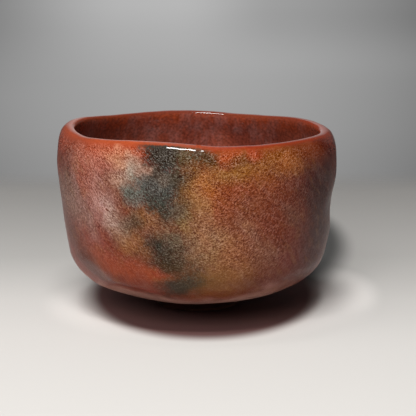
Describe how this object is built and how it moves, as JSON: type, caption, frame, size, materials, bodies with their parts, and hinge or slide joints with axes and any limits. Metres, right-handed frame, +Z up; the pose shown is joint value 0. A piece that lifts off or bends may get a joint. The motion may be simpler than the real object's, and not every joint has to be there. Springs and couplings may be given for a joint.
{
  "type": "tea bowl",
  "caption": "Hand-pinched red raku tea bowl with a gently wavy lip, scraped hips and a low foot ring, under brushed glaze coats.",
  "frame": {"origin": "on the floor, at the centre of the foot ring", "axes": "+Z up through the bowl's mouth; -Y towards the front, which has the smoke-grey kiln marking; +X to the right of the front"},
  "size_m": [0.1249, 0.1234, 0.0822],
  "materials": {
    "clay": "bare fired red raku clay, matt",
    "outer_glaze": "crackled satin-gloss red glaze with smoke-grey and ochre kiln markings",
    "lip_glaze": "thin glossy orange-red glaze",
    "inner_glaze": "smooth glossy dark red-brown glaze",
    "foot_glaze": "thin satin red-brown glaze"
  },
  "bodies": {
    "root": {"clay_body": "clay", "foot_ring": "clay", "outer_glaze": "outer_glaze", "lip_glaze": "lip_glaze", "inner_glaze": "inner_glaze", "foot_glaze": "foot_glaze", "foot_well_glaze": "foot_glaze"}
  },
  "joints": []
}
